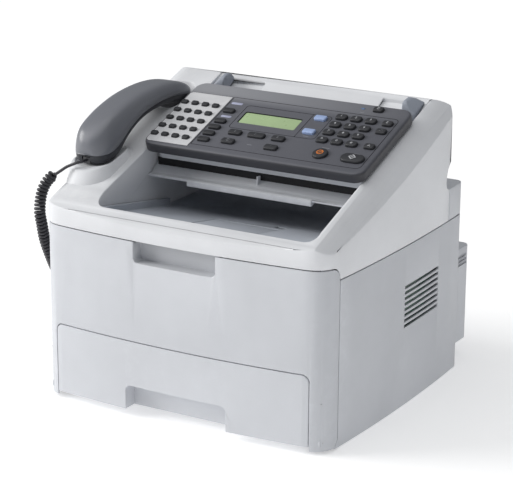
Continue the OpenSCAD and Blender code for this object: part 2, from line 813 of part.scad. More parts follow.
module scan_sensor() {
    color([0.15, 0.16, 0.18]) on_slope()
        span([panel_x - 111.5, 172.5, -38], [panel_x + 111.5, 189.5, -25.4]);
}

module document_feed_roller() {
    color([0.25, 0.25, 0.27]) on_slope() {
        x_bar(panel_x - 15, panel_x + 15, feed_s, feed_n, 10);
        x_bar(panel_x - 26, panel_x + 26, feed_s, feed_n, 3);
    }
}

// Wedge with an upright inner face and an outer side that falls to the chute
module document_guide(sign) {
    inner = sign > 0 ? 145 : -97;
    color([0.62, 0.65, 0.72]) place() {
        intersection() {
            x_prism([[265.5, 323.1], [293.5, 339.1], [292, 341.5], [286, 346.3], [281.5, 347.7],
                [270, 345.8], [266.5, 343], [265.5, 338]], inner - 20, inner + 20);
            place_slope_prism([for (p = [[0, -30], [0, 14], [2.5, 13.5], [17, 0.5], [17, -30]])
                [inner + sign * p[0], p[1]]]);
        }
        // tongue in the pocket
        x_prism([[270, 323.7], [290, 332.7], [290, 339.5], [270, 328]],
            inner + (sign > 0 ? 1 : -7), inner + (sign > 0 ? 7 : -1));
    }
}

module document_guide_left() { document_guide(-1); }
module document_guide_right() { document_guide(1); }

// ---------- handset ----------

// Side outline of the handset's smooth back
function handset_top() = [[63, 284], [62, 292], [65, 303], [73, 313], [86, 321], [104, 328.5], [126, 335],
    [150, 340], [176, 343], [202, 344], [226, 342.5], [246, 338.5], [260, 332.5], [268, 325]];

// Parting line between the two shells
function handset_mid() = [[268, 319], [262, 321], [244, 324.5], [220, 327], [196, 327], [170, 324],
    [146, 318], [124, 308], [106, 296.5], [92, 289], [78, 285.5], [63, 284]];

// Underside: earpiece, grip and mouthpiece
function handset_under() = [[65, 277], [71, 272], [80, 271.5], [104, 279], [112, 287], [126, 298],
    [146, 308], [170, 314.5], [196, 317], [220, 316], [232, 313], [238, 305],
    [246, 303.5], [264, 310], [268, 314]];

function reversed(points) = [for (k = [len(points) - 1 : -1 : 0]) points[k]];

module handset_plan(i = 0) {
    translate([handset_x, 0, 0]) linear_extrude(500)
        round_rect([-handset_w / 2 + i, 62 + i], [handset_w / 2 - i, 268 - i], 20 - i);
}

module handset_upper_shell() {
    color([0.42, 0.43, 0.46]) place() intersection() {
        handset_plan();
        x_prism(concat(handset_top(), [for (p = handset_mid()) p + [0, 0.2]]),
            handset_x - 40, handset_x + 40);
    }
}

module handset_lower_shell() {
    color([0.24, 0.25, 0.27]) place() difference() {
        intersection() {
            handset_plan(0.4);
            x_prism(concat(reversed([for (p = handset_mid()) p - [0, 0.2]]), reversed(handset_under())),
                handset_x - 40, handset_x + 40);
        }
        // jack of the cord in the end of the mouthpiece
        span([handset_x - 5.5, 40, 273.5], [handset_x + 5.5, 76, 282.5]);
    }
}

// Raised block that carries the mouthpiece, let into the left shoulder
module cradle_body() {
    intersection() {
        translate([handset_x, 0, 0]) round_plate([-26, 54], [26, 126], 22, 0, 500);
        x_prism([[50, slope_z(50) - 12], [130, slope_z(130) - 12], [130, slope_z(126)],
            [120, slope_z(120) + 2.5], [112, 283.5], [104, 282], [80, 275], [62, 272.5], [55, 268.5],
            [50, slope_z(50) + 3]], -200, -100);
    }
}

module handset_cradle() {
    color([0.87, 0.87, 0.9]) place() difference() {
        cradle_body();
        // shallow recess under the mouthpiece
        intersection() {
            translate([handset_x, 0, 0])
                round_plate([-handset_w / 2 - 0.7, 61], [handset_w / 2 + 0.7, 150], 20, 0, 500);
            x_prism([[50, 271], [80, 271], [112, 281], [112, 400], [50, 400]], -200, -100);
        }
        // passage of the hook switch
        span([handset_x - 6.6, 87.4, 200], [handset_x + 6.6, 100.6, 400]);
    }
}

module hook_switch() {
    color([0.3, 0.3, 0.33]) place()
        span([handset_x - 6, 88, 245], [handset_x + 6, 100, 272.6]);
}

module handset_plug() {
    color([0.3, 0.3, 0.33]) place() {
        span([handset_x - 5, 60, 274], [handset_x + 5, 75.5, 282]);
    }
}

// ---------- cord ----------

// Straight lead from the handset's plug to the curly part
lead_route = [[-160, 59.8, 278], [-160, 56, 278], [-164, 53, 277], [-171, 52, 274], [-179, 51, 270],
    [-186, 50, 265], [-193, 49, 260]];
// Middle line of the curly part, down the left side and up to the side jack
coil_route = [[-193, 49, 260], [-200, 48, 255], [-205, 43, 246], [-207, 38, 233], [-207, 35, 216],
    [-206, 37, 200], [-206, 42, 180], [-205, 50, 160], [-205, 62, 138], [-205, 78, 116], [-205, 98, 98],
    [-205, 122, 86], [-205, 148, 80], [-205, 170, 80], [-206, 186, 84]];
// Straight lead into the side jack
tail_route = [[-206, 186, 84], [-206.5, 194, 86], [-209, 201, 92], [-212, 204, 100],
    [-212, 205, 107], [-209.5, 205, 110], [-206, 205, 110]];

// Middle of a smooth curve through the points, at parameter t
function curve_at(p, t) = let (k = min(floor(t), len(p) - 2), f = t - k,
    a = p[max(k - 1, 0)], b = p[k], c = p[k + 1], d = p[min(k + 2, len(p) - 1)])
    0.5 * (2 * b + (c - a) * f + (2 * a - 5 * b + 4 * c - d) * f * f + (3 * b - a - 3 * c + d) * f * f * f);

function unit(v) = v / norm(v);

function tangent_at(p, t) = unit(curve_at(p, min(t + 0.02, len(p) - 1)) - curve_at(p, max(t - 0.02, 0)));

function ring(p, t, r, n) = let (w = tangent_at(p, t), u = unit(cross(w, [0.31, 0.2, 1])), v = cross(w, u))
    [for (k = [0 : n - 1]) curve_at(p, t) + r * (u * cos(360 * k / n) + v * sin(360 * k / n))];

// Tube of radius r along the points, with n sides and the given steps per point
module tube(p, r, n, steps) {
    rings = (len(p) - 1) * steps;
    points = [for (i = [0 : rings]) each ring(p, i / steps, r, n)];
    faces = concat([[for (k = [0 : n - 1]) k]], [[for (k = [n - 1 : -1 : 0]) rings * n + k]],
        [for (i = [0 : rings - 1], k = [0 : n - 1])
            [i * n + k, (i + 1) * n + k, (i + 1) * n + (k + 1) % n, i * n + (k + 1) % n]]);
    polyhedron(points, faces, convexity = 10);
}

module cord_leads() {
    color([0.23, 0.23, 0.25]) place() {
        tube(lead_route, cord_d / 2, 8, 2);
        tube(tail_route, cord_d / 2, 8, 2);
    }
}

module cord_coil() {
    color([0.23, 0.23, 0.25]) place() tube(coil_route, coil_d / 2, 12, 2);
}

module base_plug() {
    color([0.3, 0.3, 0.33]) place()
        span([-206, jack_y - 5, jack_z - 4.5], [-182, jack_y + 5, jack_z + 4.5]);
}

// ---------- inside ----------

module toner_cartridge() {
    color([0.14, 0.14, 0.15]) place() {
        x_prism([[30, 140], [40, 124], [64, 118], [120, 118], [140, 132], [140, 160], [112, 178],
            [60, 180], [36, 172]], -150, 150);
        span([-40, 24, 150], [40, 32, 168]);
        x_bar(-156, 156, 90, 126, 12);
    }
}

module laser_unit() {
    color([0.3, 0.3, 0.33]) place() difference() {
        span([-115, 160, 150], [115, 290, 190]);
        span([-100, 150, 164], [100, 170, 172]);
    }
}

module fuser_unit() {
    color([0.25, 0.22, 0.2]) place() {
        difference() {
            span([-112, 296, 110], [130, 332, 170]);
            span([-100, 290, 132], [118, 340, 146]);
        }
        x_bar(-99, 117, 312, 139, 6.5);
    }
}

module exit_roller() {
    color([0.3, 0.3, 0.32]) place() {
        x_bar(bay_left - 2.5, bay_right + 2.5, exit_axis[0], exit_axis[1], 3);
        for (x = [-90, -30, 30, 90])
            x_bar(x, x + 18, exit_axis[0], exit_axis[1], 8);
    }
}

module pickup_roller() {
    color([0.3, 0.3, 0.32]) place() {
        x_bar(-174.5, 174.5, pickup_axis[0], pickup_axis[1], 4);
        for (x = [-34, 16])
            x_bar(x, x + 18, pickup_axis[0], pickup_axis[1], 15);
    }
}

module main_board() {
    color([0.12, 0.4, 0.22]) place() {
        span([177, 60, 30], [178.6, 300, 170]);
        for (k = [0 : 3])
            span([178.4, 80 + k * 50, 60], [181, 108 + k * 50, 88]);
    }
}

module power_supply() {
    color([0.6, 0.5, 0.3]) place() {
        span([-150, 240, 102.5], [-20, 288, 104.5]);
        span([-140, 246, 104], [-112, 284, 134]);
        for (k = [0 : 2]) translate([-90 + k * 24, 264, 104]) cylinder(h = 26, r = 9, $fn = 36);
    }
}

base_frame();
feet();
left_side_cover();
right_side_cover();
front_cover();
paper_cassette();
cassette_lift_plate();
cassette_guide_left();
cassette_guide_right();
top_housing();
output_tray();
output_stop_flap();
rear_upper_cover();
rear_cover();
rear_panel();
power_inlet();
jack_block();
power_switch();
control_panel();
panel_lower_shell();
speed_dial_plate();
lcd_window();
speed_dial_keys();
function_keys();
copy_keys();
call_keys();
for (k = [0 : 11])
    digit_key(k);
start_key();
stop_key();
scan_bed();
scan_sensor();
document_feed_roller();
document_guide_left();
document_guide_right();
handset_upper_shell();
handset_lower_shell();
handset_cradle();
hook_switch();
handset_plug();
cord_leads();
cord_coil();
base_plug();
toner_cartridge();
fuser_unit();
exit_roller();
pickup_roller();
laser_unit();
main_board();
power_supply();
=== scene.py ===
import json
import math

import bmesh
import bpy
from mathutils import Matrix, Vector

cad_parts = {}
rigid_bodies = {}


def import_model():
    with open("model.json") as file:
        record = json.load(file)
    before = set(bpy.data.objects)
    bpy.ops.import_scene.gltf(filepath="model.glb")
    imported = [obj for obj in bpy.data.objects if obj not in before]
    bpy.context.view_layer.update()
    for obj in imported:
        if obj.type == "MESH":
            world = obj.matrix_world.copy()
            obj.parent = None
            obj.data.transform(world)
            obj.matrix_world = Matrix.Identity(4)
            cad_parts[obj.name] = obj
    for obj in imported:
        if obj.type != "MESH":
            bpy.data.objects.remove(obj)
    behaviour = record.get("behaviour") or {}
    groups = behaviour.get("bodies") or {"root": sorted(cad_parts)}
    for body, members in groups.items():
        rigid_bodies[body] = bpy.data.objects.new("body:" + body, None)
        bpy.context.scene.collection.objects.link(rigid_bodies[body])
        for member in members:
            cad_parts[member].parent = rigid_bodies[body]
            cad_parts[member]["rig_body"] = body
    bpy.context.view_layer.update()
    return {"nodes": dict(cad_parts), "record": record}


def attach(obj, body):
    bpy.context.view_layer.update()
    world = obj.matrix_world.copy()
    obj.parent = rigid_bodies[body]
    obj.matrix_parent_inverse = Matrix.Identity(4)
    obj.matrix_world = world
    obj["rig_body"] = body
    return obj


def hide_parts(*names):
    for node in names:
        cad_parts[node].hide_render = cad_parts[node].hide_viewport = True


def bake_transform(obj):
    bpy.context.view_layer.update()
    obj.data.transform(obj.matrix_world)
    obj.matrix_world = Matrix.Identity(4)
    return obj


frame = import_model()

SLOTS = {p["node"]: p["material_slot"] for p in frame["record"]["subparts"]}
BODY_OF = {n: o["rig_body"] for n, o in frame["nodes"].items()}

# ---------------------------------------------------------------- frames
# Sizes are in millimetres in the part's own numbers: depth from the front face, height from the floor.
HALF_DEPTH = 200.0
RIM_Z = 236.0
SLOPE = math.radians(19.8)


def mm(x, y, z):
    return Vector((x, y - HALF_DEPTH, z)) / 1000


def on_slope(x, s, n):
    """Point on the sloping rim: x across, s up the slope, n square to it."""
    y = s * math.cos(SLOPE) - n * math.sin(SLOPE)
    z = RIM_Z + s * math.sin(SLOPE) + n * math.cos(SLOPE)
    return mm(x, y, z)


# ---------------------------------------------------------------- camera
AZIMUTH, ELEVATION, ROLL = math.radians(30.42), math.radians(17.25), math.radians(0.33)


def make_camera():
    data = bpy.data.cameras.new("camera")
    cam = bpy.data.objects.new("camera", data)
    bpy.context.scene.collection.objects.link(cam)
    back = Vector((math.sin(AZIMUTH) * math.cos(ELEVATION), -math.cos(AZIMUTH) * math.cos(ELEVATION),
                   math.sin(ELEVATION)))
    right = Vector((math.cos(AZIMUTH), math.sin(AZIMUTH), 0))
    up = back.cross(right)
    right, up = (right * math.cos(ROLL) + up * math.sin(ROLL), up * math.cos(ROLL) - right * math.sin(ROLL))
    m = Matrix((right, up, back)).transposed().to_4x4()
    m.translation = Vector((1.1569, -1.9877, 0.8729))
    cam.matrix_world = m
    data.sensor_width = 36
    data.lens = 141.54
    data.clip_start, data.clip_end = 0.05, 60
    bpy.context.scene.camera = cam


make_camera()


# ---------------------------------------------------------------- materials
class Nodes:
    """Short way to write a material's nodes."""

    def __init__(self, name):
        self.mat = bpy.data.materials.new(name)
        self.mat.use_nodes = True
        self.tree = self.mat.node_tree
        self.bsdf = next(n for n in self.tree.nodes if n.type == "BSDF_PRINCIPLED")
        self.coord = self.add("ShaderNodeTexCoord").outputs["Object"]

    def add(self, kind, **values):
        n = self.tree.nodes.new(kind)
        for k, v in values.items():
            setattr(n, k, v)
        return n

    def link(self, a, b):
        self.tree.links.new(a, b)

    def noise(self, scale, detail=2.0, rough=0.5, stretch=None):
        n = self.add("ShaderNodeTexNoise")
        n.inputs["Scale"].default_value = scale
        n.inputs["Detail"].default_value = detail
        n.inputs["Roughness"].default_value = rough
        if stretch:
            m = self.add("ShaderNodeMapping")
            m.inputs["Scale"].default_value = stretch
            self.link(self.coord, m.inputs["Vector"])
            self.link(m.outputs["Vector"], n.inputs["Vector"])
        else:
            self.link(self.coord, n.inputs["Vector"])
        return n.outputs["Fac"]

    def voronoi(self, scale):
        n = self.add("ShaderNodeTexVoronoi")
        n.inputs["Scale"].default_value = scale
        self.link(self.coord, n.inputs["Vector"])
        return n.outputs["Distance"]

    def map_range(self, value, a, b, c, d):
        n = self.add("ShaderNodeMapRange")
        for i, x in zip(("From Min", "From Max", "To Min", "To Max"), (a, b, c, d)):
            n.inputs[i].default_value = x
        self.link(value, n.inputs["Value"])
        return n.outputs["Result"]

    def mix(self, fac, a, b):
        n = self.add("ShaderNodeMix", data_type="RGBA")
        self.link(fac, n.inputs["Factor"])
        for socket, v in ((n.inputs[6], a), (n.inputs[7], b)):
            if isinstance(v, bpy.types.NodeSocket):
                self.link(v, socket)
            else:
                socket.default_value = (*v, 1)
        return n.outputs[2]

    def bump(self, height, strength, distance, normal=None):
        n = self.add("ShaderNodeBump")
        n.inputs["Strength"].default_value = strength
        n.inputs["Distance"].default_value = distance
        self.link(height, n.inputs["Height"])
        if normal:
            self.link(normal, n.inputs["Normal"])
        return n.outputs["Normal"]

    def edges(self, low, high):
        """1 on edges that stick out, 0 elsewhere."""
        g = self.add("ShaderNodeNewGeometry")
        return self.map_range(g.outputs["Pointiness"], low, high, 0, 1)


def shade(c, k):
    return tuple(min(1, x * k) for x in c)


def plastic(name, colour, rough=0.42, grain=1500, grain_depth=0.00004, spread=0.05, wear=0.25, specular=0.4,
            coat=0.0):
    """Moulded plastic: faint colour variation, spark-eroded grain, patchy gloss, edges rubbed lighter."""
    m = Nodes(name)
    large = m.noise(9, 3, 0.6)
    base = m.mix(m.map_range(large, 0.3, 0.7, 0, 1), shade(colour, 1 - spread), shade(colour, 1 + spread))
    specks = m.map_range(m.noise(2600, 1), 0.35, 0.75, 0, 0.35)
    base = m.mix(specks, base, shade(colour, 0.88))
    worn = m.add("ShaderNodeMath", operation="MULTIPLY")
    m.link(m.edges(0.52, 0.62), worn.inputs[0])
    m.link(m.map_range(m.noise(60, 4, 0.7), 0.45, 0.65, 0, wear), worn.inputs[1])
    base = m.mix(worn.outputs[0], base, shade(colour, 1.35))
    m.link(base, m.bsdf.inputs["Base Color"])
    m.link(m.map_range(m.noise(35, 3, 0.6), 0.3, 0.7, rough - 0.05, rough + 0.07), m.bsdf.inputs["Roughness"])
    fine = m.bump(m.voronoi(grain), 0.25, grain_depth)
    m.link(m.bump(m.noise(14, 2), 0.12, 0.0006, fine), m.bsdf.inputs["Normal"])
    m.bsdf.inputs["Specular IOR Level"].default_value = specular
    m.bsdf.inputs["Coat Weight"].default_value = coat
    m.bsdf.inputs["Coat Roughness"].default_value = 0.15
    return m.mat


def rubber(name, colour, rough=0.6):
    """Rubber or soft key plastic: dusty, mottled, slightly pitted."""
    m = Nodes(name)
    dust = m.map_range(m.noise(220, 5, 0.7), 0.45, 0.75, 0, 0.35)
    base = m.mix(dust, colour, shade(colour, 1.7))
    m.link(base, m.bsdf.inputs["Base Color"])
    m.link(m.map_range(m.noise(90, 3), 0.3, 0.7, rough - 0.08, rough + 0.1), m.bsdf.inputs["Roughness"])
    m.link(m.bump(m.noise(1800, 2), 0.3, 0.00005), m.bsdf.inputs["Normal"])
    m.bsdf.inputs["Specular IOR Level"].default_value = 0.4
    return m.mat


def metal(name, colour, rough=0.35):
    """Plated sheet steel, rolled along x."""
    m = Nodes(name)
    rolled = m.noise(40, 4, 0.6, (1, 30, 30))
    m.link(m.mix(m.map_range(rolled, 0.3, 0.7, 0, 1), shade(colour, 0.85), shade(colour, 1.1)),
           m.bsdf.inputs["Base Color"])
    m.link(m.map_range(m.noise(25, 3), 0.3, 0.7, rough - 0.08, rough + 0.1), m.bsdf.inputs["Roughness"])
    m.link(m.bump(rolled, 0.15, 0.00005), m.bsdf.inputs["Normal"])
    m.bsdf.inputs["Metallic"].default_value = 0.85
    return m.mat


def ink(name, colour, rough=0.5):
    """Printed ink: slightly uneven cover."""
    m = Nodes(name)
    m.link(m.mix(m.map_range(m.noise(1500, 3), 0.4, 0.7, 0, 0.5), colour, shade(colour, 0.8)),
           m.bsdf.inputs["Base Color"])
    m.link(m.map_range(m.noise(600, 2), 0.3, 0.7, rough - 0.05, rough + 0.05), m.bsdf.inputs["Roughness"])
    return m.mat


def display(name, colour):
    """Green display: faint rows of dots behind a clear window, with a faint painted glow in its own colour.
    """
    m = Nodes(name)
    glow = m.map_range(m.noise(30, 2), 0.3, 0.7, 0, 1)
    base = m.mix(glow, shade(colour, 0.92), shade(colour, 1.06))
    dots = m.map_range(m.voronoi(1400), 0.1, 0.5, 0.12, 0)
    base = m.mix(dots, base, shade(colour, 0.7))
    m.link(base, m.bsdf.inputs["Base Color"])
    # Painted glow: the display gives out faint light in its own colour.
    m.link(base, m.bsdf.inputs["Emission Color"])
    m.bsdf.inputs["Emission Strength"].default_value = 0.08
    m.bsdf.inputs["Coat Weight"].default_value = 0.6
    m.bsdf.inputs["Coat Roughness"].default_value = 0.05
    m.link(m.map_range(m.noise(80, 2), 0.3, 0.7, 0.25, 0.35), m.bsdf.inputs["Roughness"])
    return m.mat


MAT = {
    "housing_light": plastic("light_plastic", (0.66, 0.675, 0.71), rough=0.46),
    # The rim plastic is the housing plastic made lighter: painted top light on the rim and the cradle.
    "housing_rim": plastic("rim_plastic_painted_top_light", (0.82, 0.83, 0.855), rough=0.42),
    # The tray plastic is a darker copy of the housing plastic, as painted shade.
    "housing_shade": plastic("tray_plastic_painted_shade", (0.5, 0.53, 0.585), rough=0.5),
    "chassis": metal("chassis_steel", (0.5, 0.5, 0.52)),
    "rubber_dark": rubber("dark_rubber", (0.03, 0.03, 0.033)),
    "panel_dark": plastic("panel_plastic", (0.105, 0.108, 0.125), rough=0.38, grain=2200, spread=0.06),
    "plate_silver": plastic("silver_plastic", (0.78, 0.78, 0.8), rough=0.35, specular=0.6),
    "lcd_green": display("green_display", (0.42, 0.56, 0.3)),
    "key_dark": plastic("key_plastic", (0.03, 0.031, 0.036), rough=0.45, specular=0.45, wear=0.5),
    "key_blue": plastic("blue_key_plastic", (0.36, 0.47, 0.74), rough=0.3, coat=0.3),
    "handset_top": plastic("handset_plastic", (0.2, 0.207, 0.232), rough=0.34, spread=0.04, specular=0.6),
    "handset_under": plastic("handset_dark_plastic", (0.045, 0.047, 0.055), rough=0.42),
    "cord_dark": rubber("cord_jacket", (0.035, 0.034, 0.04), rough=0.42),
    "plug_dark": plastic("plug_plastic", (0.05, 0.05, 0.056), rough=0.3, coat=0.4),
    "guide_grey": plastic("guide_plastic", (0.36, 0.39, 0.45), rough=0.45),
    "black_plastic": plastic("black_plastic", (0.02, 0.02, 0.022), rough=0.4),
    "board_green": plastic("board_resist", (0.02, 0.14, 0.06), rough=0.3, coat=0.5),
    "metal_plate": metal("pressed_steel", (0.6, 0.61, 0.63)),
}
INK_WHITE = ink("white_ink", (0.72, 0.73, 0.76))
INK_ORANGE = ink("orange_ink", (0.75, 0.22, 0.04))
INK_GREY = ink("grey_ink", (0.35, 0.36, 0.39))
# Near-black painted shade, put in the panel grooves, the gap round the plate, the exit slot and the sound
# holes.
PAINTED_SHADE = ink("groove_shadow", (0.006, 0.006, 0.008), 0.7)


# ---------------------------------------------------------------- mesh helpers
def new_object(name, mesh, material, body, replaces=()):
    o = bpy.data.objects.new(name, mesh)
    bpy.context.scene.collection.objects.link(o)
    mesh.materials.clear()
    mesh.materials.append(material)
    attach(o, body)
    if replaces:
        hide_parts(*replaces)
    return o


def rounded(node, width, segments=3, weight=None, min_angle=28, merge=True, smooth=True):
    """A copy of a CAD node with rounded edges, which stands for it.
    width is the largest rounding in mm, and weight(edge middle in mm) gives the share of it at an edge."""
    bm = bmesh.new()
    bm.from_mesh(frame["nodes"][node].data)
    bmesh.ops.remove_doubles(bm, verts=bm.verts, dist=2e-5)
    bmesh.ops.dissolve_degenerate(bm, dist=1e-6, edges=bm.edges)
    if merge:
        bmesh.ops.dissolve_limit(bm, angle_limit=math.radians(0.08), verts=bm.verts, edges=bm.edges)
    layer = bm.edges.layers.float.new("bevel_weight_edge")
    for e in bm.edges:
        sharp = len(e.link_faces) == 2 and e.calc_face_angle(0) > math.radians(min_angle)
        if sharp:
            mid = (e.verts[0].co + e.verts[1].co) / 2 * 1000
            mid.y += HALF_DEPTH
            e[layer] = 1.0 if weight is None else weight(mid)
        e.smooth = not (sharp and e[layer] == 0)
    for f in bm.faces:
        f.smooth = smooth
    mesh = bpy.data.meshes.new(node + "_shape")
    bm.to_mesh(mesh)
    bm.free()
    o = new_object(node + "_shell", mesh, MAT[SLOTS[node]], BODY_OF[node], [node])
    bevel = o.modifiers.new("edges", "BEVEL")
    bevel.limit_method = "WEIGHT"
    bevel.width = width / 1000
    bevel.segments = segments
    bevel.use_clamp_overlap = False
    bevel.harden_normals = smooth
    bevel.miter_outer = "MITER_ARC"
    return o


def keep(node):
    """A CAD node that stays as it is, with its material."""
    o = frame["nodes"][node]
    o.data.materials.clear()
    o.data.materials.append(MAT[SLOTS[node]])


def grid_mesh(name, rows, close_rows=True, cap=True):
    """Mesh through rows of points; each row is a closed ring."""
    bm = bmesh.new()
    rings = [[bm.verts.new(p) for p in row] for row in rows]
    n = len(rings[0])
    for a, b in zip(rings, rings[1:]):
        for k in range(n if close_rows else n - 1):
            bm.faces.new((a[k], a[(k + 1) % n], b[(k + 1) % n], b[k]))
    if cap:
        bm.faces.new(list(reversed(rings[0])))
        bm.faces.new(rings[-1])
    for f in bm.faces:
        f.smooth = True
    bmesh.ops.remove_doubles(bm, verts=bm.verts, dist=1e-6)
    bmesh.ops.recalc_face_normals(bm, faces=bm.faces)
    mesh = bpy.data.meshes.new(name)
    bm.to_mesh(mesh)
    bm.free()
    return mesh


def joined(name, meshes):
    bm = bmesh.new()
    for m in meshes:
        bm.from_mesh(m)
        bpy.data.meshes.remove(m)
    mesh = bpy.data.meshes.new(name)
    bm.to_mesh(mesh)
    bm.free()
    return mesh


def spline(points, steps):
    """Smooth curve through the points, with the same number of steps between each pair."""
    out = []
    last = len(points) - 1
    for k in range(last):
        a, b, c, d = (Vector(points[i]) for i in (max(k - 1, 0), k, k + 1, min(k + 2, last)))
        for j in range(steps):
            t = j / steps
            out.append(0.5 * (2 * b + (c - a) * t + (2 * a - 5 * b + 4 * c - d) * t ** 2
                              + (3 * b - a - 3 * c + d) * t ** 3))
    out.append(Vector(points[last]))
    return out


def evenly(points, n):
    """n points at even distances along a polyline."""
    points = [Vector(p) for p in points]
    total = [0.0]
    for a, b in zip(points, points[1:]):
        total.append(total[-1] + (b - a).length)
    out, k = [], 0
    for j in range(n):
        d = total[-1] * j / (n - 1)
        while k < len(points) - 2 and total[k + 1] < d:
            k += 1
        span = total[k + 1] - total[k]
        out.append(points[k].lerp(points[k + 1], (d - total[k]) / span if span else 0))
    return out


def length_of(points):
    return sum((b - a).length for a, b in zip(points, points[1:]))


def frames_along(points):
    """A side and an up direction at each point that turn as little as possible."""
    tangents = [(points[min(k + 1, len(points) - 1)] - points[max(k - 1, 0)]).normalized()
                for k in range(len(points))]
    side = tangents[0].orthogonal().normalized()
    out = []
    for t in tangents:
        side = (side - t * side.dot(t)).normalized()
        out.append((side.copy(), t.cross(side)))
    return out


# ---------------------------------------------------------------- loose parts of a mould
def round_outline(w, h, radius, steps=6):
    """Points of a rectangle with round corners, centred on the origin; radius is one number or
    one for each corner, from the rear right one round to the left."""
    radii = radius if isinstance(radius, tuple) else (radius,) * 4
    out = []
    for (cx, cy, start), r in zip(((1, 1, 0), (-1, 1, 90), (-1, -1, 180), (1, -1, 270)), radii):
        r = max(0.05, min(r, w / 2 - 0.01, h / 2 - 0.01))
        for k in range(steps + 1):
            a = math.radians(start + 90 * k / steps)
            out.append((cx * (w / 2 - r) + r * math.cos(a), cy * (h / 2 - r) + r * math.sin(a)))
    return out


def smaller(radius, by):
    """Corner radius, or one for each corner, less a width."""
    return tuple(q - by for q in radius) if isinstance(radius, tuple) else radius - by


def pad(name, centre, size, r, levels, place=on_slope, steps=6):
    """Closed pad with round corners: levels are (inset, height) from its foot to its top."""
    rows = []
    for inset, height in levels:
        ring = round_outline(size[0] - 2 * inset, size[1] - 2 * inset, smaller(r, inset), steps)
        rows.append([place(centre[0] + x, centre[1] + y, height) for x, y in ring])
    return grid_mesh(name, rows)


def prism(name, points, x0, x1, place=mm):
    """Closed prism: points are pairs of the last two coordinates, drawn from x0 to x1."""
    return grid_mesh(name, [[place(x, a, b) for a, b in points] for x in (x0, x1)])


def box_mesh(name, lo, hi, place=mm, bevel=0.0):
    bm = bmesh.new()
    bmesh.ops.create_cube(bm, size=1)
    for v in bm.verts:
        v.co = place(*(l + (h - l) * (c + 0.5) for l, h, c in zip(lo, hi, v.co)))
    if bevel:
        bmesh.ops.bevel(bm, geom=list(bm.edges), offset=bevel / 1000, segments=3, affect="EDGES", profile=0.5)
    for f in bm.faces:
        f.smooth = bevel > 0
    mesh = bpy.data.meshes.new(name)
    bm.to_mesh(mesh)
    bm.free()
    return mesh


def glyph(text, x, s, n, size, depth=0.16, place=on_slope):
    """Generic sign as a thin raised print."""
    curve = bpy.data.curves.new("glyph", "FONT")
    curve.body = text
    curve.size = size
    curve.extrude = depth / 2
    curve.align_x, curve.align_y = "CENTER", "CENTER"
    curve.resolution_u = 4
    o = bpy.data.objects.new("glyph", curve)
    bpy.context.scene.collection.objects.link(o)
    bpy.context.view_layer.update()
    mesh = bpy.data.meshes.new_from_object(o.evaluated_get(bpy.context.evaluated_depsgraph_get()))
    bpy.data.objects.remove(o)
    bpy.data.curves.remove(curve)
    for v in mesh.vertices:
        v.co = place(x + v.co.x, s + v.co.y, n + v.co.z)
    bm = bmesh.new()
    bm.from_mesh(mesh)
    bmesh.ops.remove_doubles(bm, verts=bm.verts, dist=1e-7)
    bmesh.ops.recalc_face_normals(bm, faces=bm.faces)
    bm.to_mesh(mesh)
    bm.free()
    return mesh


def plate_of(name, outlines, n, depth=0.16, place=on_slope):
    """Thin raised print with the given outer outline and, where there are two, a hole."""
    bm = bmesh.new()
    rings = []
    for height in (n - depth / 2, n + depth / 2):
        rings.append([[bm.verts.new(place(x, s, height)) for x, s in o] for o in outlines])
    for low, high in zip(rings[0], rings[1]):
        for k in range(len(low)):
            j = (k + 1) % len(low)
            bm.faces.new((low[k], low[j], high[j], high[k]))
    for ring in rings:
        if len(ring) == 1:
            bm.faces.new(ring[0])
        else:
            outer, inner = ring
            for k in range(len(outer)):
                j = (k + 1) % len(outer)
                bm.faces.new((outer[k], outer[j], inner[j], inner[k]))
    bmesh.ops.recalc_face_normals(bm, faces=bm.faces)
    mesh = bpy.data.meshes.new(name)
    bm.to_mesh(mesh)
    bm.free()
    return mesh


def ring_outline(x, s, r, n=20, start=0.0):
    return [(x + r * math.cos(start + 2 * math.pi * k / n), s + r * math.sin(start + 2 * math.pi * k / n))
            for k in range(n)]


def cut(o, cutter_meshes):
    """Takes closed meshes away from an object for good."""
    tools = []
    for m in cutter_meshes:
        c = bpy.data.objects.new("cutter", m)
        bpy.context.scene.collection.objects.link(c)
        mod = o.modifiers.new("cut", "BOOLEAN")
        mod.operation, mod.solver, mod.object = "DIFFERENCE", "EXACT", c
        tools.append(c)
    bpy.context.view_layer.update()
    mesh = bpy.data.meshes.new_from_object(o.evaluated_get(bpy.context.evaluated_depsgraph_get()))
    o.modifiers.clear()
    o.data = mesh
    for c in tools:
        bpy.data.objects.remove(c)
    for f in mesh.polygons:
        f.use_smooth = True
    mesh.set_sharp_from_angle(angle=math.radians(32))


# ---------------------------------------------------------------- cord
LEAD_ROUTE = [(-160, 68, 278), (-160, 59.8, 278), (-160, 56, 278), (-164, 53, 277), (-171, 52, 274),
              (-179, 51, 270), (-186, 50, 265), (-193, 49, 260)]
COIL_ROUTE = [(-193, 49, 260), (-200, 48, 255), (-205, 43, 246), (-207, 38, 233), (-207, 35, 216),
              (-206, 37, 200), (-206, 42, 180), (-205, 50, 160), (-205, 62, 138), (-205, 78, 116),
              (-205, 98, 98), (-205, 122, 86), (-205, 148, 80), (-205, 170, 80), (-206, 186, 84)]
TAIL_ROUTE = [(-206, 186, 84), (-206.5, 194, 86), (-209, 201, 92), (-212, 204, 100), (-212, 205, 107),
              (-209.5, 205, 110), (-203, 205, 110)]
COIL_RADIUS = 5.2
WIRE = 3.6
COIL_PITCH = 4.25
PER_TURN = 18


